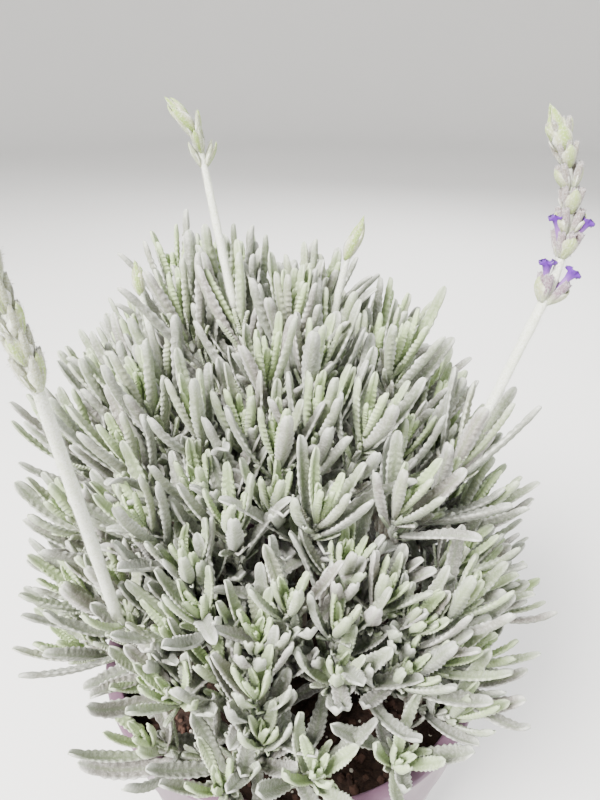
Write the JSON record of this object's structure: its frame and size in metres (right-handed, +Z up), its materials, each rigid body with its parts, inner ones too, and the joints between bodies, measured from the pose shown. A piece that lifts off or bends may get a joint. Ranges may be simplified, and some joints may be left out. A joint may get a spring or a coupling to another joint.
{
  "type": "potted lavender",
  "caption": "Silver-leaved lavender with flower spikes on tall stems, growing as a loose mound from potting mix in a round lipped nursery pot.",
  "frame": {"origin": "on the surface the pot stands on, under the middle of the pot", "axes": "+Z up; -Y is the front of the plant, where the mound falls away lowest; +X is the viewer's right"},
  "size_m": [0.1995, 0.2029, 0.332],
  "materials": {
    "pot_plastic": "satin moulded plastic, dusty mauve",
    "potting_mix": "damp bark and peat crumbs, matte",
    "foliage": "felted, matte, silver grey-green",
    "flowering_stem": "woolly, matte, pale grey-green"
  },
  "bodies": {
    "root": {"pot": "pot_plastic", "soil": "potting_mix", "flowering_stem_right_spike": "flowering_stem", "flowering_stem_left_spike": "flowering_stem", "flowering_stem_back_spike": "flowering_stem", "flowering_stem_middle_bud": "flowering_stem", "flowering_stem_left_bud": "flowering_stem", "leafy_stem_01": "foliage", "leafy_stem_02": "foliage", "leafy_stem_03": "foliage", "leafy_stem_04": "foliage", "leafy_stem_05": "foliage", "leafy_stem_06": "foliage", "leafy_stem_07": "foliage", "leafy_stem_08": "foliage", "leafy_stem_09": "foliage", "leafy_stem_10": "foliage", "leafy_stem_11": "foliage", "leafy_stem_12": "foliage", "leafy_stem_13": "foliage", "leafy_stem_14": "foliage", "leafy_stem_15": "foliage"}
  },
  "joints": []
}
